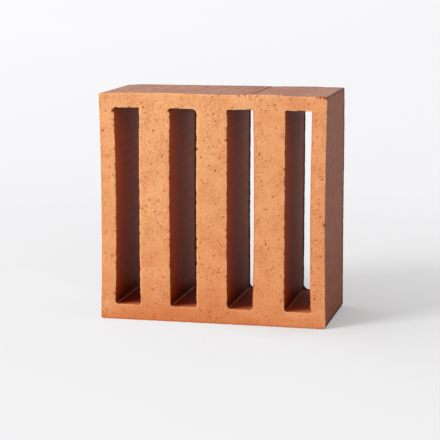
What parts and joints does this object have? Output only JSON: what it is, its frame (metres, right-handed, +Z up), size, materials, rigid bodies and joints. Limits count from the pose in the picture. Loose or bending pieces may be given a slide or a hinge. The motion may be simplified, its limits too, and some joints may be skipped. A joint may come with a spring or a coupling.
{
  "type": "slotted clay brick",
  "caption": "Square terracotta screen brick with tall slots running through it, for open walls that let air and light pass.",
  "frame": {"origin": "middle of the bed face, which the brick stands on", "axes": "+X across the front cut face to the viewer's right, +Y from the front cut face to the back one, +Z up along the slots"},
  "size_m": [0.2, 0.1, 0.2],
  "materials": {
    "fired_clay": "unglazed terracotta, granular where the wire cut it and smoother where the die formed it"
  },
  "bodies": {
    "root": {"slotted_brick": "fired_clay"}
  },
  "joints": []
}
